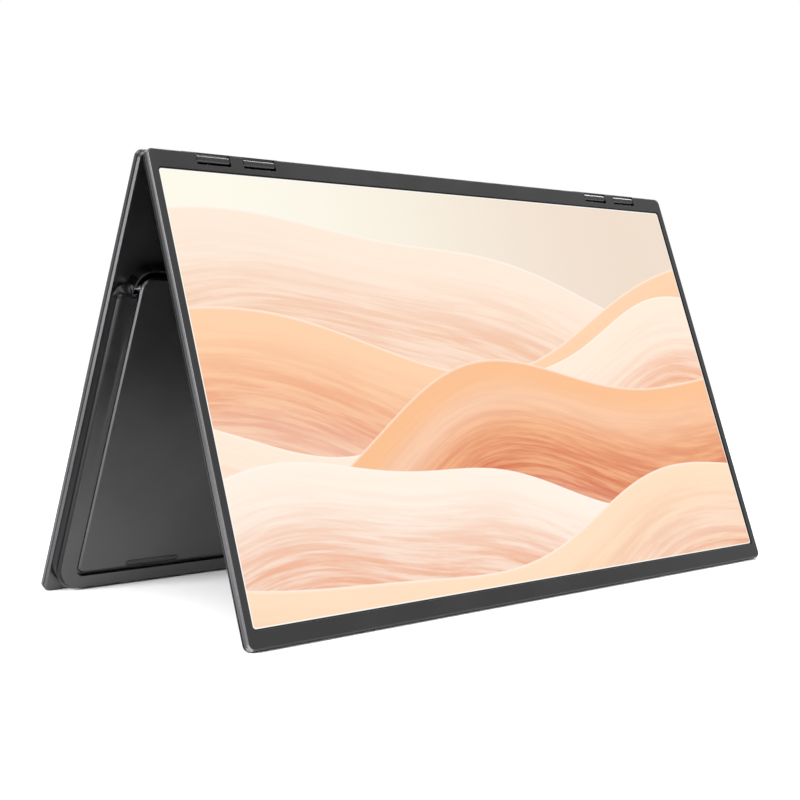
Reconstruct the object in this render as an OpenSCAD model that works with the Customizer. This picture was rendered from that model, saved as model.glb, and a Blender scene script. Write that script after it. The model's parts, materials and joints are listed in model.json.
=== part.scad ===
// Folding portable monitor: two thin display leaves on four double-axis hinge links, standing as a tent.
// X runs along the hinge, +Y from the front leaf to the rear (cover) leaf, Z up.
// The origin is the middle of the footprint, on the surface that the two bottom edges stand on.
// Leaf frame: x along the hinge, y the depth from the leaf's outer face, z up from its bottom edge.

/* [Screen] */
// Width of the picture area (15.6 inch, 16:9)
screen_w = 344.16; // [320:0.01:372]
// Height of the picture area
screen_h = 193.59; // [180:0.01:210]
// Bezel above the picture, on the hinge side
bezel_top = 8.15; // [8:0.05:12]
// Bezel below the picture
bezel_bottom = 7.55; // [6.5:0.05:12]
// Bezel at each side of the picture
bezel_side = 4; // [3.2:0.05:7]
// Radius of the picture window's corners
window_r = 1.5; // [0.8:0.1:3]

/* [Leaf] */
// Thickness of a leaf at its rim
leaf_t = 4.2; // [4.2:0.05:5]
// Radius of a leaf's corners
leaf_r = 3.2; // [3:0.1:8]
// Bright chamfer around a leaf's outer face
edge_chamfer = 0.6; // [0.55:0.05:0.8]
// Chamfer around a leaf's inner face
inner_chamfer = 0.8; // [0.3:0.05:0.8]
// Depth of the front shell, from the outer face to the seam
front_t = 2.6; // [2.5:0.05:2.8]
// Thickness of the bezel in front of the panel
lip_t = 0.55; // [0.4:0.05:0.6]
// Thickness of a back cover
cover_t = 0.8; // [0.6:0.05:0.9]
// Thickness of a leaf's side walls
rim_wall = 1.2; // [0.9:0.1:1.6]

/* [Panel] */
// How far the panel reaches under the bezel
panel_overlap = 0.8; // [0.5:0.1:1.2]
// Thickness of the panel cell with its polarisers
cell_t = 0.7; // [0.5:0.05:0.8]
// Thickness of the diffuser film
film_t = 0.3; // [0.15:0.05:0.4]
// Thickness of the light guide
guide_t = 0.7; // [0.4:0.05:0.8]
// Thickness of the reflector
reflector_t = 0.15; // [0.1:0.05:0.2]
// Thickness of the panel tray
tray_t = 0.3; // [0.2:0.05:0.35]
// Width of the LED bar along the light guide's lower edge
led_bar_h = 1.2; // [0.8:0.1:1.6]

/* [Hinge] */
// Angle between the leaves as they stand
tent_angle = 41.2; // [30:0.1:50]
// Distance between a link's two axes
link_spacing = 6; // [5.9:0.05:7]
// Distance of a hinge axis from its leaf's top edge
axis_inset = 2.55; // [2.5:0.05:2.7]
// Radius of a link's round ends
link_r = 2.1; // [2.05:0.05:2.2]
// Wall of a link cover
link_wall = 0.4; // [0.3:0.05:0.5]
// Width of the notch that a link sits in
notch_w = 18; // [16:0.1:20]
// Depth of the notch
notch_depth = 5.6; // [5.4:0.1:5.7]
// Gap between a link and each side of its notch
link_gap = 0.4; // [0.3:0.05:0.8]
// Distance between the two links of a pair
pair_pitch = 25; // [24:0.1:30]
// Distance of a pair's middle from the leaf's side
pair_inset = 46.4; // [44:0.1:70]
// Radius of a hinge shaft
shaft_r = 0.7; // [0.6:0.05:0.72]
// Running clearance of a shaft in its link
shaft_fit = 0.05; // [0.02:0.01:0.08]
// Radius of an idler gear's journals
journal_r = 0.4; // [0.3:0.05:0.45]
// Width of the four meshing gears in a link
gear_w = 3; // [2:0.1:5]
// Height of the black spine that closes the gap above a pair of links
spine_h = 1.25; // [1:0.05:1.4]
// Thickness of the spine
spine_t = 1.4; // [1:0.1:1.5]
// How far the spine reaches past its two links
spine_over = 5; // [0:0.5:8]

/* [Housing] */
// Height of the raised housing above the leaf's rim
hump_h = 6; // [5.8:0.1:6.4]
// Distance from the leaf's bottom edge to the housing
hump_bottom = 2.6; // [2.4:0.1:6]
// Distance from the leaf's top edge to the housing
hump_to_top = 61; // [56:0.5:70]
// Distance from the leaf's side to the housing's foot
hump_side = 0.85; // [0.8:0.05:2]
// Lower corner radius of the housing
hump_r = 14; // [8:0.5:18]
// Upper corner radius of the housing
hump_top_r = 3.2; // [2.6:0.1:5]
// Fillet around the housing's face
hump_fillet = 1.8; // [1:0.1:2]
// How far the sloping shoulder reaches above the housing's top
shoulder_rise = 2.9; // [2.5:0.1:3.4]
// Width of the shoulder's slope
shoulder_slope = 4; // [3.5:0.1:4.5]
// Wall of the housing
hump_wall = 1.2; // [1:0.1:1.4]
// Thickness of the floor under the kickstand
floor_t = 0.7; // [0.5:0.05:0.9]

/* [Kickstand] */
// Thickness of the kickstand plate
kick_t = 1.6; // [1.3:0.05:1.7]
// Gap under the plate
kick_under = 0.1; // [0.05:0.05:0.2]
// Distance from the housing's side to the plate
kick_side = 11; // [10:0.5:16]
// Distance from the housing's bottom edge to the plate
kick_bottom = 9; // [8:0.1:14]
// How far the plate reaches above the housing's shoulder
kick_rise = 7.3; // [7:0.1:7.6]
// Radius of the plate's upper corners
kick_top_r = 5.5; // [4:0.1:7]
// Radius of the plate's lower corners
kick_low_r = 3; // [2:0.1:6]
// Gap at the plate's sides and top
kick_gap = 1; // [0.6:0.05:1.2]
// Finger gap below the plate
kick_finger_gap = 1.8; // [1.2:0.1:2.4]
// Width of the collar around the plate's upper end
collar_w = 2.8; // [2.4:0.1:3.6]
// Wall of the collar, outside the wide gap around the plate's upper end
collar_wall = 0.8; // [0.6:0.1:1.2]
// Distance of the kickstand's axis below its upper edge
kick_axis_drop = 5.1; // [4.9:0.05:5.2]
// Depth of the kickstand's axis below the housing's face
kick_axis_depth = 2.2; // [2.1:0.05:2.4]
// Radius of the kickstand's pins
pin_r = 0.9; // [0.7:0.05:1]
// Running clearance of a pin in the plate's ears
pin_fit = 0.04; // [0.02:0.01:0.08]
// Length of the round-ended rubber strips at the plate's free edge
strip_l = 29; // [20:1:40]
// Width of the rubber strips
strip_h = 2.2; // [1.6:0.1:3]
// Distance of a strip's middle from the centre
strip_u = 124; // [80:0.5:130]

/* [Ports and buttons] */
// Height of the audio jack's axis above the leaf's bottom edge
jack_v = 24; // [22:0.5:30]
// Radius of the audio jack's bore
jack_r = 1.8; // [1.76:0.01:1.82]
// Depth of the audio jack's bore
jack_l = 14; // [12:0.5:15]
// Height of the lower USB-C port
usb_v = 40; // [38:0.5:46]
// Distance between the two USB-C ports
usb_pitch = 18; // [14:0.5:20]
// Height of the mini HDMI port
hdmi_v = 78; // [74:0.5:84]
// Distance of the power button from the housing's top
power_drop = 18; // [14:0.5:24]
// Distance between neighbouring buttons
button_pitch = 12; // [10:0.5:14]
// Length of the plus and minus buttons
button_l = 6; // [4:0.5:8]
// Length of the power button
power_l = 8; // [6:0.5:9]
// Height of a button's cap
button_h = 2.4; // [1.8:0.1:2.8]
// How far a button stands out of the wall
button_proud = 0.5; // [0.3:0.05:0.6]

/* [Hidden] */
$fn = 48;

shell_grey = [0.27, 0.27, 0.28];
link_grey = [0.33, 0.33, 0.34];
steel = [0.66, 0.67, 0.69];
board_green = [0.1, 0.3, 0.2];
rubber_black = [0.07, 0.07, 0.07];

cut = 1;              // overshoot of a cut past the face it opens
face_gap = 0.15;      // clearance around a piece that drops into a pocket
seat_gap = 0.1;       // clearance between stacked pieces

// leaf
leaf_w = screen_w + 2 * bezel_side;
leaf_h = screen_h + bezel_top + bezel_bottom;
half_w = leaf_w / 2;
half_tent = tent_angle / 2;
back_in = leaf_t - cover_t;
axis_w = leaf_t / 2;
axis_v = leaf_h - axis_inset;
foot_y = link_spacing / 2 + axis_v * sin(half_tent) + axis_w * cos(half_tent);
lift = (leaf_t - inner_chamfer) * sin(half_tent);
axis_z = lift + axis_v * cos(half_tent) - axis_w * sin(half_tent);

// panel stack, by the depth at which each layer starts
panel_w = screen_w + 2 * panel_overlap;
panel_h = screen_h + 2 * panel_overlap;
panel_v = bezel_bottom - panel_overlap;
panel_top = panel_v + panel_h;
cell_y = lip_t;
film_y = cell_y + cell_t;
guide_y = film_y + film_t;
reflector_y = guide_y + guide_t;
tray_y = reflector_y + reflector_t;
tray_back = tray_y + tray_t;
tray_rim = 0.3;
panel_r = 1;
stack_w = panel_w - 2 * (tray_rim + seat_gap);
stack_v = panel_v + tray_rim + seat_gap;
stack_h = panel_h - 2 * (tray_rim + seat_gap);

// driver board pocket below the panel
driver_w = 236;
driver_v = 1.7;
driver_gap = 0.6;
driver_h = panel_v - driver_v - driver_gap;
driver_y = lip_t + 0.5;
driver_t = 0.8;
driver_chip = [12, 0.6, 1];

// hinge notches, brackets and links
pair_x = half_w - pair_inset;
link_x = [
    -pair_x - pair_pitch / 2, -pair_x + pair_pitch / 2, pair_x - pair_pitch / 2, pair_x + pair_pitch / 2
];
link_w = notch_w - 2 * link_gap;
notch_v = leaf_h - notch_depth;
notch_wall = 0.5;
pocket_y = 1;
pocket_top = leaf_h - rim_wall;
ear_w = 3.6;
ear_gap = 0.4;
ear_y = pocket_y + seat_gap;
ear_back = back_in - seat_gap;
strip_v = panel_top + 0.35;
strip_top = notch_v - notch_wall - seat_gap;
pair_edge = pair_pitch / 2 + notch_w / 2 + notch_wall;
ear_far = pair_edge + ear_gap + ear_w;
tab_in = 4.5;
tab_out = 7.5;
tab_reach = ear_far + tab_out;
tab_screw = ear_far + tab_in;
tab_t = 0.45;
screw_r = 0.5;
screw_head_r = 1.1;
screw_head_t = 0.3;
screw_depth = 1.6;
screw_slot = [1.2, 0.3];
bore_relief = 0.25;
sleeve_r = 1.3;
sleeve_l = 3;

// meshing gears: two pinions on the shafts and two idlers between them
gear_teeth = 8;
gear_pitch_r = link_spacing / 6;
gear_tip_r = gear_pitch_r * 1.22;
gear_root_r = gear_pitch_r * 0.735;
tooth_half = [0.186, 0.155, 0.062];
chamber_r = gear_tip_r + 0.13;
chamber_w = gear_w + 0.4;
journal_l = 1.2;
journal_fit = 0.04;

// housing
hump_half = half_w - hump_side;
hump_top = leaf_h - hump_to_top;
face_y = leaf_t + hump_h;
shoulder_r = shoulder_slope + 1;
hump_draft = 0.3;
cavity_drop = 2.6;
cavity_top = hump_top - cavity_drop;
floor_y = face_y - kick_t - kick_under;
under_floor = floor_y - floor_t;
skin_t = 0.8;
wall_x = hump_half - hump_wall;

// kickstand
kick_half = hump_half - kick_side;
kick_v = hump_bottom + kick_bottom;
kick_top = hump_top + kick_rise;
kick_h = kick_top - kick_v;
kick_y = face_y - kick_t;
kick_axis_v = kick_top - kick_axis_drop;
kick_axis_y = face_y - kick_axis_depth;
kick_chamfer = 0.8;
recess_half = kick_half + kick_gap;
recess_v = kick_v - kick_finger_gap;
recess_top = kick_top + kick_gap;
recess_low_r = kick_low_r + (kick_gap + kick_finger_gap) / 2;
recess_top_r = kick_top_r + kick_gap;
collar_half = recess_half + collar_w;
collar_top = recess_top + collar_w;
collar_fillet = 0.6;
collar_foot = 30;
ear_r = 1.7;
ear_l = 3.2;
ear_root = 1;
washer_t = 0.35;
washer_r = 1.6;
trough_gap = 0.4;
trough_r = 1;
straight_min = 0.2;
trough_v = min(kick_axis_v - ear_r - trough_gap, recess_top - recess_top_r - trough_r - straight_min);
head_gap = collar_w - collar_wall;
head_r = 0.5;
head_v = recess_top - recess_top_r - head_r - straight_min;
clip_gap = 0.3;
clip_proud = 0.1;
clip_below = 3.6;
clip_above = 1.2;
clip_depth = 2.6;
clip_sunk = 0.6;
clip_half = [recess_half + clip_gap, collar_half + clip_proud];
clip_v = [kick_axis_v - clip_below, kick_axis_v + clip_above];
clip_y = [kick_axis_y - clip_depth, face_y - clip_sunk];
strip_gap = 0.3;
strip_edge = 0.1;
strip_v0 = kick_v + kick_chamfer + strip_edge + strip_gap;
strip_t = 0.8;
magnet_r = 4;
magnet_t = 0.8;
magnet_x = 90;
magnet_v = kick_v + 10;
keeper_t = 1;

// boards and ports
board_y = 3.2;
board_t = 0.8;
board_top = board_y + board_t;
board_w = 62;
board_side_gap = 2.4;
board_low = 15.4;
board_high = 8;
board_x = [hump_half - board_w, wall_x - board_side_gap];
board_v = [hump_bottom + board_low, cavity_top - board_high];
port_face = hump_half - 0.2;
port_gap = 0.15;
jack_y = 5.5;
jack_wall = 0.4;
jack_nose_l = 2.4;
jack_back = 1;
jack_sink = [0.8, 0.1];
usb_size = [7.6, 3.2, 8.94];
usb_wall = 0.3;
tongue_t = 0.7;
tongue_side = 1.4;
tongue_back = 0.8;
hdmi_size = [7.6, 3.2, 11.2];
hdmi_wall = 0.35;
board_screw_r = 0.7;
board_head_r = 1.5;
board_head_t = 0.3;
board_screw_end = [0.5, 0.6];
boss_r = 1.8;
boss_in = [4, 14];
boss_up = [12, 5];
boss_x = [board_x[0] + boss_in[0], board_x[1] - boss_in[1]];
boss_v = [board_v[0] + boss_up[0], board_v[1] - boss_up[1]];
chips = [[16, 14, 40, 1.2], [36, 9, 62, 1], [14, 7, 74, 0.9], [34, 11, 92, 1.6]];

// buttons
button_y = leaf_t + 2.1;
power_v = hump_top - power_drop;
button_v = [power_v, power_v - button_pitch, power_v - 2 * button_pitch];
button_gap = 0.15;
button_flange = 0.6;
button_flange_t = 0.7;
button_travel = 0.3;
flange_x = wall_x - 0.05 - button_flange_t;
plunger_x = flange_x - button_travel - 0.05;
switch_t = 1.4;
switch_s = 3;
plunger_r = 0.6;
plunger_l = 0.3;
button_board_t = 0.8;
button_board_h = [0.3, 4.9];
button_board_end = 6;
button_board_x = plunger_x - plunger_l - switch_t - button_board_t;

// speakers and cables
speaker_size = [40, 3.4, 14];
speaker_x = 40;
speaker_v = hump_bottom + hump_wall + 0.6;
speaker_slots = 9;
slot_w = 1.2;
slot_y = [leaf_t + 1.2, leaf_t + 3.6];
slot_pitch = 3.2;
ribbon_t = 0.15;
ribbon_w = 20;
ribbon_low = driver_v + 1;
ribbon_high = strip_v - 2;
cable_w = 12;
cable_side = 14;
cable_x = pair_x - pair_edge - cable_side;
ribbon_in = 20;
ribbon_up = 10;
cable_down = 14;

// ---- placing ----

module at_display()
    translate([0, -foot_y, lift])
        rotate([-half_tent, 0, 0])
            children();

module at_cover()
    mirror([0, 1, 0])
        at_display()
            children();

module both_sides() {
    children();
    mirror([1, 0, 0])
        children();
}

// ---- basic shapes ----

// Box from its low corner to its high corner
module block(low, high)
    translate(low)
        cube(high - low);

// Round bar along X
module rod(r, x0, x1)
    translate([x0, 0, 0])
        rotate([0, 90, 0])
            cylinder(r = r, h = x1 - x0);

// Round bar along Y, the depth of a leaf
module peg(r, y0, y1)
    translate([0, y0, 0])
        rotate([-90, 0, 0])
            cylinder(r = r, h = y1 - y0);

// Pill along X: two round ends, spaced along Y
module pill(r, spacing, x0, x1) {
    for (side = [-1, 1])
        translate([0, side * spacing / 2, 0])
            rod(r, x0, x1);
    block([x0, -spacing / 2, -r], [x1, spacing / 2, r]);
}

// Edge profiles: points [inset from the outline, depth], from the front face to the back one
function straight_edge(t) = [[0, 0], [0, t]];
function front_chamfer(t, c) = [[c, 0], [0, c], [0, t]];
function back_chamfer(t, c) = [[0, 0], [0, t - c], [c, t]];
function back_fillet(t, r, draft) = concat(
    [[0, 0]],
    [for (a = [0:15:90]) [draft + r * (1 - cos(a)), t - r + r * sin(a)]]
);

// Rounded plate with a shaped edge: w wide, from z = v0 to v1, lower corners r0 and upper corners r1
module slab(w, v0, v1, r0, r1, edge) {
    t = edge[len(edge) - 1][1];
    half = w / 2;
    inside = [for (i = [len(edge) - 1:-1:0]) edge[i]];
    translate([0, 0, v0 + r0])
        linear_extrude(v1 - v0 - r0 - r1)
            polygon(concat(
                [for (p = edge) [half - p[0], p[1]]],
                [for (p = inside) [p[0] - half, p[1]]]
            ));
    slab_end(w, r0, edge, v0);
    translate([0, 0, v0 + v1])
        mirror([0, 0, 1])
            slab_end(w, r1, edge, v0);
    for (side = [-1, 1])
        for (corner = [[r0, v0 + r0], [r1, v1 - r1]])
            translate([side * (half - corner[0]), 0, corner[1]])
                rotate([-90, 0, 0])
                    rotate_extrude()
                        polygon(concat(
                            [[0, 0]],
                            [for (p = edge) [corner[0] - p[0], p[1]]],
                            [[0, t]]
                        ));
}

// Straight strip between the two corners of a slab's end
module slab_end(w, r, edge, v0) {
    t = edge[len(edge) - 1][1];
    translate([w / 2 - r, 0, v0])
        rotate([0, -90, 0])
            linear_extrude(w - 2 * r)
                polygon(concat(
                    [for (p = edge) [p[0], p[1]]],
                    [[r, t], [r, 0]]
                ));
}

// Spur gear with its axis along X and straight-flanked teeth; turned by phase degrees
module gear(width, phase) {
    radii = [gear_root_r, gear_pitch_r, gear_tip_r];
    order = [[0, -1], [1, -1], [2, -1], [2, 1], [1, 1], [0, 1]];
    rotate([90 + phase, 0, 0])
        translate([-width / 2, 0, 0])
            rotate([90, 0, 90])
                linear_extrude(width)
                    polygon([
                        for (i = [0:gear_teeth - 1])
                            for (p = order)
                                let (
                                    r = radii[p[0]],
                                    flank = tooth_half[p[0]] * gear_pitch_r / r * 180 / PI,
                                    a = i * 360 / gear_teeth + p[1] * flank
                                )
                                [r * cos(a), r * sin(a)]
                    ]);
}

// ---- one leaf ----

module notches(y0, y1)
    for (x = link_x)
        block([x - notch_w / 2, y0, notch_v], [x + notch_w / 2, y1, leaf_h + cut]);

// Space for the hinge brackets around one pair of notches, in the front shell
module bracket_pocket(x, y1) {
    rib = pair_pitch / 2 - notch_w / 2 - notch_wall;
    block(
        [x - ear_far - ear_gap, pocket_y, panel_top - cut],
        [x + ear_far + ear_gap, y1, strip_top + seat_gap]
    );
    for (side = [-1, 1])
        block(
            [x + (side > 0 ? pair_edge : -ear_far - ear_gap), pocket_y, panel_top],
            [x + (side > 0 ? ear_far + ear_gap : -pair_edge), y1, pocket_top]
        );
    block([x - rib, pocket_y, panel_top], [x + rib, y1, pocket_top]);
}

module leaf_bezel()
    difference() {
        slab(leaf_w, 0, leaf_h, leaf_r, leaf_r, front_chamfer(front_t, edge_chamfer));
        translate([0, -cut, 0])
            slab(screen_w, bezel_bottom, bezel_bottom + screen_h, window_r, window_r, straight_edge(2 * cut));
        translate([0, lip_t, 0])
            slab(
                panel_w + 2 * face_gap, panel_v - face_gap, panel_top + face_gap, panel_r, panel_r,
                straight_edge(front_t)
            );
        block(
            [-driver_w / 2 - face_gap, driver_y - seat_gap, driver_v - face_gap],
            [driver_w / 2 + face_gap, front_t + cut, panel_v + cut]
        );
        notches(-cut, front_t + cut);
        for (side = [-1, 1]) {
            bracket_pocket(side * pair_x, front_t + cut);
            for (end = [-1, 1])
                translate([side * pair_x + end * tab_screw, 0, tab_v()])
                    peg(screw_r, front_t - screw_depth, front_t + cut);
            translate([side * pair_x, axis_w, axis_v])
                rod(shaft_r + bore_relief, -ear_far, ear_far);
        }
    }

function tab_v() = (strip_v + pocket_top) / 2;

module leaf_panel()
    translate([0, cell_y, 0])
        slab(panel_w, panel_v, panel_top, panel_r, panel_r, straight_edge(cell_t));

module leaf_sheet(y, t, low)
    block([-stack_w / 2, y, stack_v + low], [stack_w / 2, y + t, stack_v + stack_h]);

module leaf_led_bar()
    block([-stack_w / 2, guide_y, stack_v], [stack_w / 2, guide_y + guide_t, stack_v + led_bar_h]);

module leaf_tray()
    difference() {
        translate([0, film_y, 0])
            slab(panel_w, panel_v, panel_top, panel_r, panel_r, straight_edge(tray_back - film_y));
        block(
            [-panel_w / 2 + tray_rim, film_y - cut, panel_v + tray_rim],
            [panel_w / 2 - tray_rim, tray_y, panel_top - tray_rim]
        );
    }

module leaf_driver_board() {
    block([-driver_w / 2, driver_y, driver_v], [driver_w / 2, driver_y + driver_t, driver_v + driver_h]);
    for (i = [-2:2])
        block(
            [i * driver_w / 6 - driver_chip[0] / 2, driver_y + driver_t, driver_v + driver_chip[2]],
            [
                i * driver_w / 6 + driver_chip[0] / 2, driver_y + driver_t + driver_chip[1],
                driver_v + driver_h - driver_chip[2]
            ]
        );
}

// Back half of a leaf: rim and cover plate, with room inside for the brackets
module leaf_back()
    difference() {
        translate([0, front_t, 0])
            slab(leaf_w, 0, leaf_h, leaf_r, leaf_r, back_chamfer(leaf_t - front_t, inner_chamfer));
        difference() {
            translate([0, front_t - cut, 0])
                slab(
                    leaf_w - 2 * rim_wall, rim_wall, leaf_h - rim_wall, leaf_r - rim_wall, leaf_r - rim_wall,
                    straight_edge(back_in - front_t + cut)
                );
            for (x = link_x)
                block(
                    [x - notch_w / 2 - notch_wall, 0, notch_v - notch_wall],
                    [x + notch_w / 2 + notch_wall, leaf_t, leaf_h]
                );
        }
        notches(0, leaf_t + cut);
        for (side = [-1, 1])
            translate([side * pair_x, axis_w, axis_v])
                rod(shaft_r + bore_relief, -ear_far, ear_far);
    }

// Comb-shaped bracket: a strip below the notches, an ear at each side of them and two screwed tabs
module leaf_brackets()
    for (side = [-1, 1])
        translate([side * pair_x, 0, 0])
            difference() {
                union() {
                    block([-ear_far, ear_y, strip_v], [ear_far, ear_back, strip_top]);
                    for (x = [-ear_far, -ear_w / 2, pair_edge + ear_gap])
                        block([x, ear_y, strip_v], [x + ear_w, ear_back, pocket_top - seat_gap]);
                    for (x = [-tab_reach, ear_far - cut])
                        block(
                            [x, front_t, strip_v],
                            [x + tab_reach - ear_far + cut, front_t + tab_t, pocket_top - seat_gap]
                        );
                }
                translate([0, axis_w, axis_v])
                    rod(shaft_r, -ear_far - cut, ear_far + cut);
                for (end = [-1, 1])
                    translate([end * tab_screw, 0, tab_v()])
                        peg(screw_r, front_t - cut, front_t + tab_t + cut);
            }

module leaf_bracket_screws()
    for (side = [-1, 1])
        for (end = [-1, 1])
            translate([side * pair_x + end * tab_screw, 0, tab_v()])
                difference() {
                    union() {
                        peg(screw_r, front_t - screw_depth, front_t + tab_t);
                        peg(screw_head_r, front_t + tab_t, front_t + tab_t + screw_head_t);
                    }
                    for (a = [0, 90])
                        rotate([0, a, 0])
                            block(
                                [-screw_slot[0] / 2, front_t + tab_t + screw_head_t / 2, -screw_slot[1] / 2],
                                [screw_slot[0] / 2, front_t + tab_t + screw_head_t + cut, screw_slot[1] / 2]
                            );
                }

// Two shafts, each with a pinion in both of its links; y is the shaft's place along a link
module hinge_shafts(y, phase)
    for (side = [-1, 1])
        translate([side * pair_x, y, axis_z]) {
            rod(shaft_r, -ear_far, ear_far);
            for (x = [-pair_pitch / 2, pair_pitch / 2])
                translate([x, 0, 0])
                    gear(gear_w, phase);
        }

module leaf_ribbon(v0, v1, x, w)
    block([x - w / 2, tray_back + seat_gap, v0], [x + w / 2, tray_back + seat_gap + ribbon_t, v1]);

// ---- display leaf ----

module display_bezel() color(shell_grey) at_display() leaf_bezel();
module display_panel() color([0.96, 0.84, 0.74]) at_display() leaf_panel();
module display_diffuser() color([0.95, 0.95, 0.95]) at_display() leaf_sheet(film_y, film_t, 0);
module display_light_guide()
    color([0.85, 0.93, 0.95])
        at_display()
            leaf_sheet(guide_y, guide_t, led_bar_h + seat_gap);
module display_reflector() color([0.98, 0.98, 0.98]) at_display() leaf_sheet(reflector_y, reflector_t, 0);
module display_led_bar() color([0.95, 0.9, 0.6]) at_display() leaf_led_bar();
module display_tray() color(steel) at_display() leaf_tray();
module display_driver_board() color(board_green) at_display() leaf_driver_board();
module display_back_cover() color(shell_grey) at_display() leaf_back();
module display_hinge_brackets() color(steel) at_display() leaf_brackets();
module display_hinge_shafts() color(steel) hinge_shafts(-link_spacing / 2, 0);
module display_bracket_screws() color(steel) at_display() leaf_bracket_screws();
module display_ribbon()
    color([0.75, 0.5, 0.2])
        at_display()
            leaf_ribbon(ribbon_low, ribbon_high, cable_x, cable_w);

// ---- cover leaf ----

module cover_bezel() color(shell_grey) at_cover() leaf_bezel();
module cover_panel() color([0.05, 0.05, 0.06]) at_cover() leaf_panel();
module cover_diffuser() color([0.95, 0.95, 0.95]) at_cover() leaf_sheet(film_y, film_t, 0);
module cover_light_guide()
    color([0.85, 0.93, 0.95])
        at_cover()
            leaf_sheet(guide_y, guide_t, led_bar_h + seat_gap);
module cover_reflector() color([0.98, 0.98, 0.98]) at_cover() leaf_sheet(reflector_y, reflector_t, 0);
module cover_led_bar() color([0.95, 0.9, 0.6]) at_cover() leaf_led_bar();
module cover_tray() color(steel) at_cover() leaf_tray();
module cover_driver_board() color(board_green) at_cover() leaf_driver_board();
module cover_hinge_brackets() color(steel) at_cover() leaf_brackets();
module cover_hinge_shafts() color(steel) hinge_shafts(link_spacing / 2, 180 / gear_teeth);
module cover_bracket_screws() color(steel) at_cover() leaf_bracket_screws();
module cover_ribbon()
    color([0.75, 0.5, 0.2])
        at_cover()
            leaf_ribbon(ribbon_low, board_v[0] + ribbon_up, board_x[0] + ribbon_in, ribbon_w);

// Outline around the kickstand from z = v0 up, with lower corners low_r, all of it grown by a wall
module recess_outline(grow, v0, low_r, t)
    slab(
        2 * (recess_half + grow), v0 - grow, recess_top + grow, low_r + grow, recess_top_r + grow,
        straight_edge(t)
    );

module housing_body() {
    leaf_back();
    translate([0, leaf_t - seat_gap, 0]) {
        slab(
            2 * hump_half, hump_bottom, hump_top, hump_r, hump_top_r,
            back_fillet(hump_h + seat_gap, hump_fillet, hump_draft)
        );
        slab(
            2 * hump_half - seat_gap, hump_top - collar_foot, hump_top + shoulder_rise,
            shoulder_r, shoulder_r, back_chamfer(hump_h + seat_gap, shoulder_slope)
        );
        slab(
            2 * collar_half, hump_top - collar_foot, collar_top, kick_top_r, recess_top_r + collar_w,
            back_fillet(hump_h + seat_gap, collar_fillet, 0)
        );
    }
}

// Room for the electronics: everything inside the hump that the kickstand's floor doesn't take
module housing_cavity()
    difference() {
        translate([0, front_t - cut, 0])
            slab(
                2 * wall_x, hump_bottom + hump_wall, cavity_top, hump_r - hump_wall, hump_top_r,
                back_chamfer(face_y - skin_t - front_t + cut, hump_fillet)
            );
        translate([0, under_floor, 0])
            recess_outline(skin_t, recess_v, recess_low_r, face_y);
        for (x = boss_x)
            for (v = boss_v)
                translate([x, 0, v])
                    peg(boss_r, board_top, face_y);
    }

module port_hole(size, v, y)
    block(
        [wall_x - cut, y - size[1] / 2 - port_gap, v - size[2] / 2 - port_gap],
        [hump_half + cut, y + size[1] / 2 + port_gap, v + size[2] / 2 + port_gap]
    );

// Button shape: a bar along X with round ends
module button_bar(length, height, x0, x1)
    for (side = [-1, 1]) {
        translate([0, 0, side * (length - height) / 2])
            rod(height / 2, x0, x1);
        block([x0, -height / 2, -(length - height) / 2], [x1, height / 2, (length - height) / 2]);
    }

module cover_housing()
    color(shell_grey)
        at_cover()
            difference() {
                housing_body();
                housing_cavity();
                translate([0, floor_y, 0])
                    recess_outline(0, recess_v, recess_low_r, face_y);
                translate([0, leaf_t, 0])
                    recess_outline(0, trough_v, trough_r, face_y);
                translate([0, clip_y[0], 0])
                    slab(
                        2 * (recess_half + head_gap), head_v, recess_top + head_gap,
                        head_r, recess_top_r + head_gap, straight_edge(face_y)
                    );
                both_sides()
                    block(
                        [recess_half - cut, clip_y[0], clip_v[0] - clip_gap],
                        [clip_half[1] + clip_gap, face_y + cut, clip_v[1] + clip_gap]
                    );
                for (x = boss_x)
                    for (v = boss_v)
                        translate([x, 0, v])
                            peg(board_screw_r, board_top - cut, under_floor - board_screw_end[0]);
                translate([0, jack_y, jack_v]) {
                    rod(jack_r + jack_wall + port_gap, wall_x - cut, hump_half + cut);
                    rod(jack_r + jack_sink[0], hump_half - jack_sink[1], half_w + cut);
                }
                port_hole(usb_size, usb_v, usb_y());
                port_hole(usb_size, usb_v + usb_pitch, usb_y());
                port_hole(hdmi_size, hdmi_v, hdmi_y());
                for (i = [0:2])
                    translate([0, button_y, button_v[i]])
                        button_bar(
                            (i == 0 ? power_l : button_l) + 2 * button_gap, button_h + 2 * button_gap,
                            wall_x - cut, half_w + cut
                        );
                both_sides()
                    for (i = [0:speaker_slots - 1])
                        translate([speaker_x + (i - (speaker_slots - 1) / 2) * slot_pitch, 0, 0])
                            block(
                                [-slot_w / 2, slot_y[0], hump_bottom - cut],
                                [slot_w / 2, slot_y[1], hump_bottom + hump_wall + cut]
                            );
            }

function usb_y() = board_top + usb_size[1] / 2;
function hdmi_y() = board_top + hdmi_size[1] / 2;

// ---- hinge links ----

module at_links()
    for (x = link_x)
        translate([x, 0, axis_z])
            children();

module link_covers()
    color(link_grey)
        at_links()
            difference() {
                pill(link_r, link_spacing, -link_w / 2, link_w / 2);
                pill(link_r - link_wall, link_spacing, -link_w / 2 - cut, link_w / 2 + cut);
            }

// Black spine on the flat tops of a pair of links, which closes the view between the two leaves
module link_spines() {
    reach = (pair_pitch + link_w) / 2 + spine_over;
    color(rubber_black)
        for (side = [-1, 1])
            translate([side * pair_x, 0, axis_z + link_r])
                block([-reach, -spine_t / 2, 0], [reach, spine_t / 2, spine_h]);
}

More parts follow.
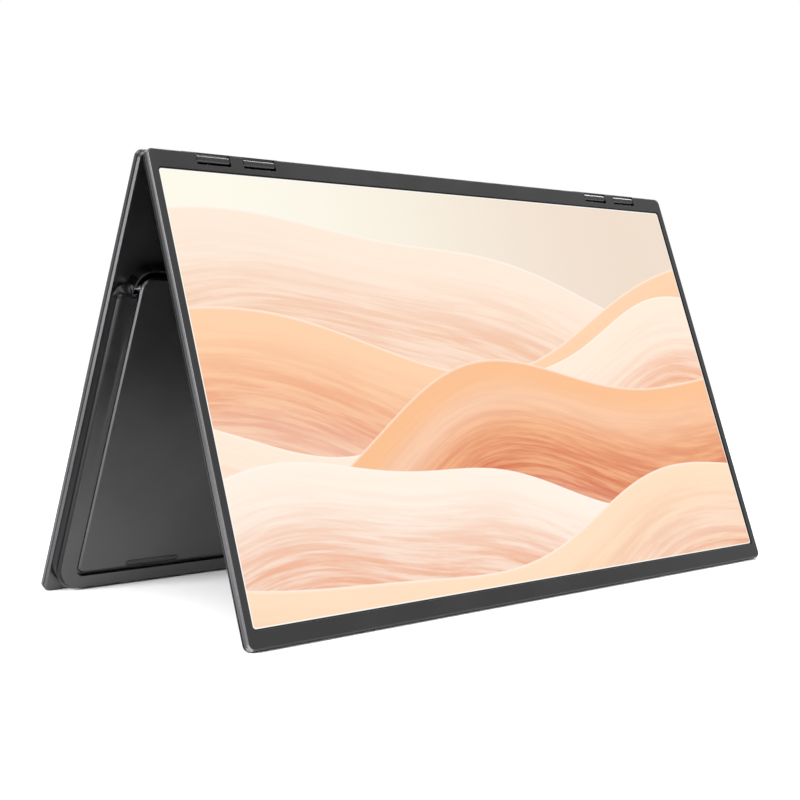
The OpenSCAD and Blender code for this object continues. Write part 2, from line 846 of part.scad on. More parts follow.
module link_frames()
    color(steel)
        at_links()
            difference() {
                pill(link_r - link_wall, link_spacing, -link_w / 2, link_w / 2);
                pill(chamber_r, link_spacing, -chamber_w / 2, chamber_w / 2);
                for (side = [-1, 1]) {
                    translate([0, side * link_spacing / 2, 0]) {
                        rod(shaft_r + shaft_fit, -link_w / 2 - cut, link_w / 2 + cut);
                        rod(sleeve_r, -link_w / 2 - cut, sleeve_l - link_w / 2);
                        rod(sleeve_r, link_w / 2 - sleeve_l, link_w / 2 + cut);
                    }
                    translate([0, side * gear_pitch_r, 0])
                        rod(journal_r + journal_fit, -chamber_w / 2 - journal_l, chamber_w / 2 + journal_l);
                }
            }

module friction_sleeves()
    color([0.7, 0.6, 0.35])
        at_links()
            for (side = [-1, 1])
                for (x = [-link_w / 2, link_w / 2 - sleeve_l])
                    translate([0, side * link_spacing / 2, 0])
                        difference() {
                            rod(sleeve_r, x, x + sleeve_l);
                            rod(shaft_r + shaft_fit / 2, x - cut, x + sleeve_l + cut);
                        }

module idlers(y, phase)
    at_links()
        translate([0, y, 0]) {
            gear(gear_w, phase);
            rod(journal_r, -chamber_w / 2 - journal_l + seat_gap, chamber_w / 2 + journal_l - seat_gap);
        }

module rear_idlers() color(steel) idlers(gear_pitch_r, 0);
module front_idlers() color(steel) idlers(-gear_pitch_r, 180 / gear_teeth);

// ---- electronics ----

module main_board()
    color(board_green)
        at_cover() {
            difference() {
                block([board_x[0], board_y, board_v[0]], [board_x[1], board_top, board_v[1]]);
                translate([0, 0, jack_v])
                    block(
                        [port_face - jack_l - 2 * jack_back, board_y - cut, -jack_r - jack_wall - face_gap],
                        [board_x[1] + cut, board_top + cut, jack_r + jack_wall + face_gap]
                    );
                for (x = boss_x)
                    for (v = boss_v)
                        translate([x, 0, v])
                            peg(board_screw_r, board_y - cut, board_top + cut);
            }
            for (chip = chips)
                translate([board_x[0] + chip[0], board_top, board_v[0] + chip[2]])
                    block([-chip[1] / 2, 0, -chip[1] / 2], [chip[1] / 2, chip[3], chip[1] / 2]);
        }

module board_screws()
    color(steel)
        at_cover()
            for (x = boss_x)
                for (v = boss_v)
                    translate([x, 0, v]) {
                        peg(board_screw_r, board_y, under_floor - board_screw_end[1]);
                        peg(board_head_r, board_y - board_head_t, board_y);
                    }

// Port shell on the board: a hollow box open towards +X, with a tongue inside
module port_shell(size, wall, v, y)
    translate([port_face - size[0], y, v]) {
        difference() {
            block([0, -size[1] / 2, -size[2] / 2], [size[0], size[1] / 2, size[2] / 2]);
            block(
                [wall, wall - size[1] / 2, wall - size[2] / 2],
                [size[0] + cut, size[1] / 2 - wall, size[2] / 2 - wall]
            );
        }
        block(
            [wall, -tongue_t / 2, tongue_side - size[2] / 2],
            [size[0] - tongue_back, tongue_t / 2, size[2] / 2 - tongue_side]
        );
    }

module usb_c_ports()
    color(steel)
        at_cover() {
            port_shell(usb_size, usb_wall, usb_v, usb_y());
            port_shell(usb_size, usb_wall, usb_v + usb_pitch, usb_y());
        }

module mini_hdmi_port() color(steel) at_cover() port_shell(hdmi_size, hdmi_wall, hdmi_v, hdmi_y());

module audio_jack()
    color([0.12, 0.12, 0.13])
        at_cover()
            translate([port_face, jack_y, jack_v])
                difference() {
                    union() {
                        block(
                            [-jack_l - jack_back, -jack_r - jack_wall, -jack_r - jack_wall],
                            [-jack_nose_l, jack_r + jack_wall, jack_r + jack_wall]
                        );
                        rod(jack_r + jack_wall, -jack_nose_l - cut, 0);
                    }
                    rod(jack_r, -jack_l, cut);
                }

module speakers()
    color([0.1, 0.1, 0.11])
        at_cover()
            both_sides()
                block(
                    [speaker_x - speaker_size[0] / 2, leaf_t, speaker_v],
                    [speaker_x + speaker_size[0] / 2, leaf_t + speaker_size[1], speaker_v + speaker_size[2]]
                );

module button_board()
    color(board_green)
        at_cover()
            block(
                [button_board_x, leaf_t + button_board_h[0], button_v[2] - button_board_end],
                [button_board_x + button_board_t, leaf_t + button_board_h[1], button_v[0] + button_board_end]
            );

module tact_switches()
    color([0.2, 0.2, 0.21])
        at_cover()
            for (v = button_v)
                translate([button_board_x + button_board_t, button_y, v]) {
                    block([0, -switch_s / 2, -switch_s / 2], [switch_t, switch_s / 2, switch_s / 2]);
                    rod(plunger_r, switch_t - seat_gap, switch_t + plunger_l);
                }

module button(i, length)
    at_cover()
        translate([0, button_y, button_v[i]]) {
            button_bar(length, button_h, flange_x, hump_half + button_proud);
            button_bar(length + 2 * button_flange, button_h, flange_x, flange_x + button_flange_t);
        }

module power_button() color([0.3, 0.3, 0.31]) button(0, power_l);
module plus_button() color([0.3, 0.3, 0.31]) button(1, button_l);
module minus_button() color([0.3, 0.3, 0.31]) button(2, button_l);

module display_cable()
    color([0.12, 0.12, 0.12])
        at_cover()
            leaf_ribbon(board_v[1] - cable_down, ribbon_high, cable_x, cable_w);

// ---- kickstand ----

module kickstand_plate()
    color(shell_grey)
        at_cover()
            difference() {
                union() {
                    translate([0, kick_y, 0])
                        slab(
                            2 * kick_half, kick_v, kick_top, kick_low_r, kick_top_r,
                            back_chamfer(kick_t, kick_chamfer)
                        );
                    both_sides()
                        translate([0, kick_axis_y, kick_axis_v]) {
                            rod(ear_r, kick_half - ear_l, kick_half);
                            block(
                                [kick_half - ear_l, 0, -ear_r],
                                [kick_half, kick_axis_depth - ear_root, ear_r]
                            );
                        }
                }
                both_sides() {
                    translate([0, kick_axis_y, kick_axis_v])
                        rod(pin_r + pin_fit, kick_half - ear_l - cut, kick_half + cut);
                    strip_bar(strip_gap, face_y + cut);
                    translate([magnet_x, 0, magnet_v])
                        peg(magnet_r, kick_y - cut, kick_y + magnet_t);
                }
            }

// Bar with round ends along the plate's free edge, from its pocket's floor up to depth y1, grown by a gap
module strip_bar(grow, y1)
    translate([strip_u, 0, strip_v0 + strip_h / 2]) {
        straight = (strip_l - strip_h) / 2;
        r = strip_h / 2 + grow;
        for (end = [-1, 1])
            translate([end * straight, 0, 0])
                peg(r, face_y - strip_t, y1);
        block([-straight, face_y - strip_t, -r], [straight, y1, r]);
    }

module kickstand_strips()
    color(rubber_black)
        at_cover()
            both_sides()
                strip_bar(0, face_y);

module kickstand_magnets()
    color(steel)
        at_cover()
            both_sides()
                translate([magnet_x, 0, magnet_v])
                    peg(magnet_r, kick_y, kick_y + magnet_t);

module magnet_keepers()
    color(steel)
        at_cover()
            both_sides()
                translate([magnet_x, 0, magnet_v])
                    peg(magnet_r, under_floor - keeper_t, under_floor);

module kickstand_pins()
    color(steel)
        at_cover()
            both_sides()
                translate([0, kick_axis_y, kick_axis_v])
                    rod(pin_r, kick_half - ear_l, clip_half[1]);

module kickstand_clips()
    color(steel)
        at_cover()
            both_sides()
                difference() {
                    block([clip_half[0], clip_y[0], clip_v[0]], [clip_half[1], clip_y[1], clip_v[1]]);
                    translate([0, kick_axis_y, kick_axis_v])
                        rod(pin_r, clip_half[0] - cut, clip_half[1] + cut);
                }

module kickstand_washers()
    color([0.7, 0.6, 0.35])
        at_cover()
            both_sides()
                translate([kick_half, kick_axis_y, kick_axis_v])
                    difference() {
                        rod(washer_r, 0, washer_t);
                        rod(pin_r + pin_fit, -cut, washer_t + cut);
                    }

// ---- drawing ----

display_bezel();
display_panel();
display_diffuser();
display_light_guide();
display_reflector();
display_led_bar();
display_tray();
display_driver_board();
display_back_cover();
display_hinge_brackets();
display_hinge_shafts();
display_bracket_screws();
display_ribbon();
cover_bezel();
cover_panel();
cover_diffuser();
cover_light_guide();
cover_reflector();
cover_led_bar();
cover_tray();
cover_driver_board();
cover_housing();
cover_hinge_brackets();
cover_hinge_shafts();
cover_bracket_screws();
cover_ribbon();
link_covers();
link_spines();
link_frames();
friction_sleeves();
rear_idlers();
front_idlers();
main_board();
board_screws();
usb_c_ports();
mini_hdmi_port();
audio_jack();
speakers();
button_board();
tact_switches();
power_button();
plus_button();
minus_button();
display_cable();
kickstand_plate();
kickstand_pins();
kickstand_clips();
kickstand_washers();
kickstand_strips();
kickstand_magnets();
magnet_keepers();
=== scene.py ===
import json
import math

import bpy
from mathutils import Matrix, Vector


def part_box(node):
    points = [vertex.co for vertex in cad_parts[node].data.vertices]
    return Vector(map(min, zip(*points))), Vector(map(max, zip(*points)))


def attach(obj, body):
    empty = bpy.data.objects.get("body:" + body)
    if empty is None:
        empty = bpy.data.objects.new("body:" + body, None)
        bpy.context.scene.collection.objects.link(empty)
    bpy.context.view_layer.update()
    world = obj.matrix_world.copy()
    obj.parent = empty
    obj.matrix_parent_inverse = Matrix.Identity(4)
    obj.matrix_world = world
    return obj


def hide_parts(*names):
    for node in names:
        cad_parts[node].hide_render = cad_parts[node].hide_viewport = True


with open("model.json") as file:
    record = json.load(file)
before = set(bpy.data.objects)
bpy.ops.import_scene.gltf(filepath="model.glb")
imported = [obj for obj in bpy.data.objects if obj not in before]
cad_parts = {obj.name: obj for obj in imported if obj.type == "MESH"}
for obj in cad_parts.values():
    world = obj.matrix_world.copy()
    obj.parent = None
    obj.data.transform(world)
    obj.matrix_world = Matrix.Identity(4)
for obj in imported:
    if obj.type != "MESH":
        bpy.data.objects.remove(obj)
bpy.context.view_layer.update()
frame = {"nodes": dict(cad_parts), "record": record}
nodes = frame["nodes"]
joints = {joint["name"]: joint for joint in frame["record"]["behaviour"]["joints"]}
mm = 0.001

# sizes in millimetres, in a leaf's own frame: x along the hinge, y depth from the outer face, z up from the
# bottom edge; "through" is how far a cutter reaches past a face that it opens
leaf = {
    "width": (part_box("display_bezel")[1].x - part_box("display_bezel")[0].x) / mm,
    "height": 209.29, "thickness": 4.2, "seam": 2.6, "corner": 3.2, "chamfer": 0.6, "innerChamfer": 0.8,
    "seamBevel": 0.22, "screenWidth": 344.16, "screenHeight": 193.59, "screenBottom": 7.55,
    "windowRadius": 1.5, "lip": 0.55, "cell": 0.7, "panelRadius": 1, "panelGap": 0.15, "pocketBack": 4,
    "overlap": 0.8, "rim": 1.2, "skin": 0.8, "axisInset": 2.55, "halfTent": 20.6, "notchWidth": 18.0,
    "notchDepth": 5.6, "pairInset": 46.4, "pairPitch": 25.0, "soft": 0.12, "through": 1,
}
leaf["pairCentre"] = leaf["width"] / 2 - leaf["pairInset"]
notchCentres = [
    side * leaf["pairCentre"] + end * leaf["pairPitch"] / 2 for side in (-1, 1) for end in (-1, 1)]


def activate(obj):
    if bpy.context.object and bpy.context.object.mode != "OBJECT":
        bpy.ops.object.mode_set(mode="OBJECT")
    bpy.ops.object.select_all(action="DESELECT")
    obj.select_set(True)
    bpy.context.view_layer.objects.active = obj


def choose(obj, kind, test):
    # selects vertices, edges or faces by the places of their corners, then enters edit mode
    activate(obj)
    mesh = obj.data
    for group in (mesh.vertices, mesh.edges, mesh.polygons):
        group.foreach_set("select", [False] * len(group))
    if kind == "VERT":
        for vertex in mesh.vertices:
            vertex.select = test(vertex.co)
    elif kind == "EDGE":
        for edge in mesh.edges:
            a, b = (mesh.vertices[i].co for i in edge.vertices)
            edge.select = test(a, b)
            if edge.select:
                for i in edge.vertices:
                    mesh.vertices[i].select = True
    else:
        for face in mesh.polygons:
            face.select = test(face.center, face.normal)
    bpy.context.tool_settings.mesh_select_mode = (kind == "VERT", kind == "EDGE", kind == "FACE")
    bpy.ops.object.mode_set(mode="EDIT")


def leaveEdit():
    bpy.ops.object.mode_set(mode="OBJECT")


def near(a, b, slack=0.001):
    return abs(a - b) < slack


def plate(name, width, bottom, top, front, back, lowRadius=0, topRadius=0, centre=0, steps=10):
    # a flat sheet with rounded corners, extruded from its front depth to its back depth
    bpy.ops.object.select_all(action="DESELECT")
    middle = (centre, front, (bottom + top) / 2)
    bpy.ops.mesh.primitive_plane_add(size=1, location=middle, rotation=(math.pi / 2, 0, 0))
    obj = bpy.context.object
    obj.name = name
    obj.scale = (width, top - bottom, 1)
    bpy.ops.object.transform_apply(location=True, rotation=True, scale=True)
    for height, radius in ((bottom, lowRadius), (top, topRadius)):
        if radius:
            choose(obj, "VERT", lambda p: near(p.z, height))
            bpy.ops.mesh.bevel(offset=radius, segments=steps, affect="VERTICES", profile=0.5)
            leaveEdit()
    choose(obj, "FACE", lambda c, n: True)
    bpy.ops.mesh.extrude_region_move(TRANSFORM_OT_translate={"value": (0, back - front, 0)})
    bpy.ops.mesh.select_all(action="SELECT")
    bpy.ops.mesh.normals_make_consistent(inside=False)
    leaveEdit()
    return obj


def bar(name, radius, start, end, axis="X", sides=32, place=(0, 0, 0)):
    # a round bar along X or Y
    length = end - start
    turn = (0, math.pi / 2, 0) if axis == "X" else (math.pi / 2, 0, 0)
    shift = Vector(((start + end) / 2, 0, 0)) if axis == "X" else Vector((0, (start + end) / 2, 0))
    bpy.ops.object.select_all(action="DESELECT")
    bpy.ops.mesh.primitive_cylinder_add(
        vertices=sides, radius=radius, depth=length, location=Vector(place) + shift, rotation=turn)
    obj = bpy.context.object
    obj.name = name
    bpy.ops.object.transform_apply(location=True, rotation=True, scale=True)
    return obj


def block(name, low, high):
    bpy.ops.object.select_all(action="DESELECT")
    low, high = Vector(low), Vector(high)
    bpy.ops.mesh.primitive_cube_add(size=1, location=(low + high) / 2)
    obj = bpy.context.object
    obj.name = name
    obj.scale = high - low
    bpy.ops.object.transform_apply(location=True, rotation=True, scale=True)
    return obj


def bevelEdges(obj, test, width, steps=1):
    choose(obj, "EDGE", test)
    bpy.ops.mesh.bevel(offset=width, segments=steps, affect="EDGES", profile=0.5)
    leaveEdit()


def pillBar(name, length, height, start, end, place):
    # a bar along X with a pill-shaped section, long in z
    y, z = place
    obj = block(name, (start, y - height / 2, z - length / 2), (end, y + height / 2, z + length / 2))
    bevelEdges(obj, lambda a, b: near(a.y, b.y) and near(a.z, b.z), height / 2 - 0.001, 8)
    return obj


def join(name, parts):
    activate(parts[0])
    for part in parts:
        part.select_set(True)
    if len(parts) > 1:
        bpy.ops.object.join()
    parts[0].name = name
    return parts[0]


def paint(obj, side, material, test):
    # a second finish, a painted highlight or painted shade, on the faces that the test picks, by place and normal
    # in the leaf's own frame
    back = leafPlace(side).inverted()
    flip = -1 if side == "cover" else 1
    obj.data.materials.append(material)
    for face in obj.data.polygons:
        place, normal = back @ face.center, (back.to_3x3() @ face.normal).normalized()
        if test(Vector((place.x, flip * place.y, place.z)), Vector((normal.x, flip * normal.y, normal.z))):
            face.material_index = len(obj.data.materials) - 1


# how far a face must turn sideways, as its normal's x, to count as sloping or as a wall
facing = {"slope": 0.2, "rimWall": 0.9, "humpWall": 0.85, "most": 1.1, "seam": 0.3}


def paintRim(obj, side):
    # the left and right sides of a leaf in painted light and shade: painted highlights on the chamfers, a painted
    # lit band on the front shell's side, a painted shade band on the back shell's side, and painted shade in the
    # seam groove between them
    def onRim(place, normal, low, high, isFront):
        outside = abs(place.x) > leaf["width"] / 2 - leaf["corner"] and place.y < leaf["thickness"]
        inShell = place.y < leaf["seam"] if isFront else place.y > leaf["seam"]
        return outside and inShell and low < abs(normal.x) <= high

    slope, wall, most = facing["slope"], facing["rimWall"], facing["most"]
    paint(obj, side, finishes["painted_highlight_edge"], lambda p, n: onRim(p, n, slope, wall, True))
    paint(obj, side, finishes["painted_soft_highlight"], lambda p, n: onRim(p, n, slope, wall, False))
    paint(obj, side, finishes["painted_lit_band"], lambda p, n: onRim(p, n, wall, most, True))
    paint(obj, side, finishes["painted_shade_band"], lambda p, n: onRim(p, n, wall, most, False))
    paint(obj, side, finishes["painted_deep_shade"],
          lambda p, n: near(p.y, leaf["seam"], leaf["seamBevel"]) and abs(n.y) > facing["seam"])


def carve(obj, cutter, operation="DIFFERENCE"):
    modifier = obj.modifiers.new("carve", "BOOLEAN")
    modifier.operation = operation
    modifier.solver = "EXACT"
    modifier.object = cutter
    activate(obj)
    bpy.ops.object.modifier_apply(modifier=modifier.name)
    bpy.data.objects.remove(cutter)


def soften(obj, width, steps=2, angle=28):
    activate(obj)
    bpy.ops.object.shade_smooth()
    modifier = obj.modifiers.new("soften", "BEVEL")
    modifier.limit_method = "ANGLE"
    modifier.angle_limit = math.radians(angle)
    modifier.width = width
    modifier.segments = steps
    modifier.harden_normals = True
    bpy.ops.object.modifier_apply(modifier=modifier.name)


def mirrorDepth(obj):
    # the cover leaf is the display leaf seen in a mirror
    activate(obj)
    obj.scale = (1, -1, 1)
    bpy.ops.object.transform_apply(location=True, rotation=True, scale=True)
    choose(obj, "FACE", lambda c, n: True)
    bpy.ops.mesh.flip_normals()
    leaveEdit()


def leafPlace(side):
    # from a leaf's own millimetres to the shared frame, hung from the hinge axis that the frame gives
    joint = joints["display_turn" if side == "display" else "hinge_turn"]
    turn = -1 if side == "display" else 1
    axis = Vector((0, -turn * leaf["thickness"] / 2, leaf["height"] - leaf["axisInset"]))
    return (Matrix.Translation(Vector(joint["pos_m"]))
            @ Matrix.Rotation(turn * math.radians(leaf["halfTent"]), 4, "X")
            @ Matrix.Scale(mm, 4) @ Matrix.Translation(-axis))


def settle(obj, side, body, slot, replaced=(), material=None, width=None):
    # mirrors, softens and places a finished piece, gives it its finish, hangs it on its body and hides the parts
    # that it replaces
    if side == "cover":
        mirrorDepth(obj)
    if width:
        soften(obj, width)
    activate(obj)
    if side == "link":
        obj.matrix_world = Matrix.Translation(linkMiddle) @ Matrix.Scale(mm, 4)
    else:
        obj.matrix_world = leafPlace(side)
    bpy.ops.object.transform_apply(location=True, rotation=True, scale=True)
    obj.data.materials.clear()
    obj.data.materials.append(material or finishes[slot])
    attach(obj, body)
    if replaced:
        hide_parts(*replaced)
    return obj


linkMiddle = (Vector(joints["display_turn"]["pos_m"]) + Vector(joints["hinge_turn"]["pos_m"])) / 2


camera = {
    "place": (-0.51562, -0.50584, 0.13466), "yaw": 0.737, "pitch": 0.0425, "roll": 0.0193,
    "focalPixels": 1450, "framePixels": 800, "principal": (350.33, 364.18), "sensor": 36,
    "clip": (0.01, 50),
}


def makeCamera():
    yaw, pitch, roll = camera["yaw"], camera["pitch"], camera["roll"]
    forward = Vector((math.sin(yaw) * math.cos(pitch), math.cos(yaw) * math.cos(pitch), -math.sin(pitch)))
    level = Vector((math.cos(yaw), -math.sin(yaw), 0))
    upright = level.cross(forward)
    right = level * math.cos(roll) + upright * math.sin(roll)
    up = upright * math.cos(roll) - level * math.sin(roll)
    data = bpy.data.cameras.new("camera")
    data.sensor_width = camera["sensor"]
    data.lens = camera["focalPixels"] / camera["framePixels"] * camera["sensor"]
    centre = camera["framePixels"] / 2
    data.shift_x = (centre - camera["principal"][0]) / camera["framePixels"]
    data.shift_y = (camera["principal"][1] - centre) / camera["framePixels"]
    data.clip_start, data.clip_end = camera["clip"]
    obj = bpy.data.objects.new("camera", data)
    bpy.context.collection.objects.link(obj)
    turn = Matrix((right, up, -forward)).transposed().to_4x4()
    obj.matrix_world = Matrix.Translation(camera["place"]) @ turn
    bpy.context.scene.camera = obj


# a big softbox over the front, a strip over the hinge at the right, a soft fill behind, and at the tent's
# open end a low one that isn't mirrored in the metal
lights = [
    {"name": "softbox", "place": (-0.7, -1.2, 1.5), "size": (1.6, 1.2), "power": 14, "aim": (0, 0, 0.1)},
    {"name": "hingeStrip", "place": (1.2, 0.05, 1.45), "size": (0.3, 1.0), "power": 13, "aim": (0, 0, 0.1)},
    {"name": "backFill", "place": (0.5, 1.5, 1.2), "size": (1.2, 1.0), "power": 6, "aim": (0, 0, 0.1)},
    {"name": "tentFill", "place": (-0.9, 0, 0.26), "size": (0.35, 0.25), "power": 15, "aim": (0, 0, 0)},
]
# the studio is white where it is seen, and its mirror image in the metal gets darker behind the right end
studio = {"white": 1.0, "dark": 0.12, "fromY": 0.05, "toY": 0.42, "fromX": -0.35, "toX": 0.3}


def makeLights():
    for light in lights:
        data = bpy.data.lights.new(light["name"], "AREA")
        data.shape = "RECTANGLE"
        data.size, data.size_y = light["size"]
        data.energy = light["power"]
        obj = bpy.data.objects.new(light["name"], data)
        bpy.context.collection.objects.link(obj)
        obj.location = light["place"]
        obj.rotation_euler = (Vector(light["aim"]) - obj.location).to_track_quat("-Z", "Y").to_euler()
        obj.visible_camera = False
        obj.visible_glossy = light["name"] != "tentFill"
    bpy.context.scene.view_settings.view_transform = "Standard"


def makeStudio():
    world = bpy.data.worlds.new("studio")
    world.use_nodes = True
    bpy.context.scene.world = world
    sky = Shader(world.node_tree)
    direction = sky.node("ShaderNodeTexCoord", output="Generated")
    right = sky.node("ShaderNodeSeparateXYZ", None, {0: direction}, "X")
    back = sky.node("ShaderNodeSeparateXYZ", None, {0: direction}, "Y")
    shadow = back.smooth(studio["fromY"], studio["toY"]) * right.smooth(studio["fromX"], studio["toX"])
    level = studio["white"] - shadow * (studio["white"] - studio["dark"])
    mirrored = sky.node("ShaderNodeLightPath", output="Is Glossy Ray")
    colour = sky.blend(mirrored, (studio["white"],) * 3 + (1,), sky.grey(level))
    sky.feed(world.node_tree.nodes["Background"].inputs["Color"], colour)


class Value:
    # one shader value that can be used in plain sums
    def __init__(self, finish, socket):
        self.finish, self.socket = finish, socket

    def sum(self, operation, a, b=0.0, c=0.0):
        return self.finish.node("ShaderNodeMath", {"operation": operation}, {0: a, 1: b, 2: c})

    def __add__(self, other):
        return self.sum("ADD", self, other)

    def __sub__(self, other):
        return self.sum("SUBTRACT", self, other)

    def __rsub__(self, other):
        return self.sum("SUBTRACT", other, self)

    def __mul__(self, other):
        return self.sum("MULTIPLY", self, other)

    def __truediv__(self, other):
        return self.sum("DIVIDE", self, other)

    def sin(self):
        return self.sum("SINE", self)

    def power(self, other):
        return self.sum("POWER", self, other)

    def absolute(self):
        return self.sum("ABSOLUTE", self)

    def highest(self, other):
        return self.sum("MAXIMUM", self, other)

    def smooth(self, low, high):
        # 0 below low, 1 above high, soft between them
        return self.finish.node(
            "ShaderNodeMapRange", {"interpolation_type": "SMOOTHSTEP"},
            {0: self, 1: low, 2: high, 3: 0.0, 4: 1.0})


class Shader:
    # nodes and links of one node tree
    def __init__(self, tree):
        self.tree = tree

    def node(self, kind, settings=None, values=None, output=0):
        made = self.tree.nodes.new(kind)
        for key, value in (settings or {}).items():
            setattr(made, key, value)
        for key, value in (values or {}).items():
            self.feed(made.inputs[key], value)
        return Value(self, made.outputs[output])

    def feed(self, socket, value):
        if isinstance(value, Value):
            self.tree.links.new(value.socket, socket)
        else:
            socket.default_value = value

    def blend(self, mask, a, b):
        # a where the mask is 0, b where it is 1
        return self.node("ShaderNodeMix", {"data_type": "RGBA"}, {"Factor": mask, 6: a, 7: b}, 2)

    def grey(self, level):
        return self.node("ShaderNodeCombineColor", None, {0: level, 1: level, 2: level})


class Finish(Shader):
    # one material built on the Principled shader
    def __init__(self, name):
        self.material = bpy.data.materials.new(name)
        self.material.use_nodes = True
        super().__init__(self.material.node_tree)
        self.shader = self.tree.nodes["Principled BSDF"]

    def set(self, **values):
        sockets = {
            "colour": "Base Color", "roughness": "Roughness", "metallic": "Metallic", "normal": "Normal",
            "glow": "Emission Color", "glowStrength": "Emission Strength", "specular": "Specular IOR Level"}
        for key, value in values.items():
            self.feed(self.shader.inputs[sockets[key]], value)

    def place(self):
        return self.node("ShaderNodeTexCoord", output="Object")

    def noise(self, scale, detail=3.0, roughness=0.5, place=None):
        return self.node(
            "ShaderNodeTexNoise", None,
            {"Vector": place or self.place(), "Scale": scale, "Detail": detail, "Roughness": roughness},
            "Fac")

    def bump(self, height, strength, distance):
        return self.node(
            "ShaderNodeBump", None, {"Strength": strength, "Distance": distance, "Height": height})


def rgb(red, green, blue):
    # a colour given as it looks on screen, 0 to 255
    def linear(c):
        return ((c / 255 + 0.055) / 1.055) ** 2.4 if c > 10 else c / 255 / 12.92

    return (linear(red), linear(green), linear(blue), 1)


def shade(colour, factor):
    return tuple(min(1, c * factor) for c in colour[:3]) + (1,)


def anodised(name, colour, roughness):
    # bead-blasted, dark anodised metal: a fine grain, faint cloudiness and slightly uneven gloss
    finish = Finish(name)
    clouds = finish.noise(22, 4, 0.6)
    grain = finish.noise(5200, 2, 0.6)
    finish.set(
        colour=finish.blend(clouds.smooth(0.3, 0.7), shade(colour, 0.94), shade(colour, 1.07)),
        roughness=clouds * 0.08 + grain * 0.06 + (roughness - 0.07), metallic=1.0,
        normal=finish.bump(grain, 0.25, 0.00003))
    return finish.material


def plainMetal(name, colour, roughness):
    # brushed along x
    finish = Finish(name)
    place = finish.node("ShaderNodeMapping", None, {"Vector": finish.place(), "Scale": (0.04, 1, 1)})
    brushed = finish.noise(900, 3, 0.6, place)
    finish.set(
        colour=finish.blend(brushed, shade(colour, 0.88), shade(colour, 1.08)), metallic=1.0,
        roughness=brushed * 0.14 + (roughness - 0.07), normal=finish.bump(brushed, 0.15, 0.00004))
    return finish.material


def mouldedPlastic(name, colour, roughness, grainScale=2600):
    finish = Finish(name)
    grain = finish.noise(grainScale, 2, 0.5)
    patch = finish.noise(60, 3, 0.5)
    finish.set(
        colour=finish.blend(patch, shade(colour, 0.9), shade(colour, 1.12)),
        roughness=patch * 0.1 + (roughness - 0.05), normal=finish.bump(grain, 0.2, 0.00004))
    return finish.material


def circuitBoard(name, colour):
    finish = Finish(name)
    tracks = finish.node(
        "ShaderNodeTexVoronoi", {"distance": "MANHATTAN", "feature": "F1"},
        {"Vector": finish.place(), "Scale": 420.0}, "Distance")
    traced = tracks.smooth(0.32, 0.36)
    finish.set(
        colour=finish.blend(traced, colour, shade(colour, 1.7)), roughness=0.38,
        normal=finish.bump(traced, 0.3, 0.00004))
    return finish.material


def darkGlass(name):
    # a switched-off panel behind a low-gloss coating
    finish = Finish(name)
    sparkle = finish.noise(9000, 1, 0.5)
    haze = finish.noise(9, 3, 0.5)
    finish.set(
        colour=finish.blend(haze, rgb(10, 10, 12), rgb(16, 16, 19)), roughness=haze * 0.05 + 0.2,
        normal=finish.bump(sparkle, 0.05, 0.00001))
    return finish.material


wallpaper = {
    # "mask" is the black line round the picture, partly the panel's own black border and partly painted shade of
    # the window's edge
    "sky": (rgb(250, 247, 232), rgb(236, 217, 199)), "mask": (0.55, 0.75), "border": (1.0, 1.25),
    "cornerRadius": 2.0,
    # each dune: height at the left, slope, then two waves (size, frequency, phase), light and deep colour
    "dunes": [
        (0.86, -0.10, (0.080, 2.1, 0.4), (0.020, 6.3, 1.0), rgb(252, 232, 214), rgb(240, 186, 152)),
        (0.58, 0.10, (0.120, 2.6, 2.2), (0.030, 5.1, 0.2), rgb(254, 208, 168), rgb(226, 132, 84)),
        (0.50, 0.04, (0.150, 2.2, 3.9), (0.025, 7.4, 2.0), rgb(255, 234, 214), rgb(236, 160, 116)),
        (0.28, 0.16, (0.110, 3.0, 5.3), (0.030, 6.0, 3.1), rgb(249, 190, 140), rgb(210, 104, 56)),
        (0.22, 0.02, (0.100, 2.4, 0.9), (0.020, 8.2, 0.7), rgb(255, 240, 226), rgb(233, 152, 104)),
        (0.05, 0.08, (0.070, 3.4, 2.4), (0.015, 7.0, 4.4), rgb(253, 222, 190), rgb(224, 132, 82)),
    ],
    # how the surface folds (frequency, size, depth where it is full), how the fine strands run and show on
    # it, the silky sheen across it (two frequencies), the bright crest line and the light veil below it
    "fold": (3.1, 0.05, 0.3), "strands": 34, "drift": 2.2, "apart": 9, "strandNoise": (1.6, 5.0, 0.66),
    "strandRange": (0.36, 0.66), "strandStrength": 0.6, "strandStart": 0.05, "strandLight": 1.04,
    "sheenWaves": (17, 1.3), "sheenStrength": 0.3, "sheenRange": (0.03, 0.12),
    "sheenColour": rgb(255, 243, 230), "deepAt": 0.32, "crest": 0.010, "crestStrength": 0.85, "crestColour": rgb(255, 248, 240),
    "veil": 0.07, "veilStrength": 0.2, "outline": 0.003, "skyRange": (0.02, 0.9),
    "borderColour": rgb(255, 253, 248), "blackLineAndShadeColour": rgb(8, 8, 8), "glow": 0.98,
}


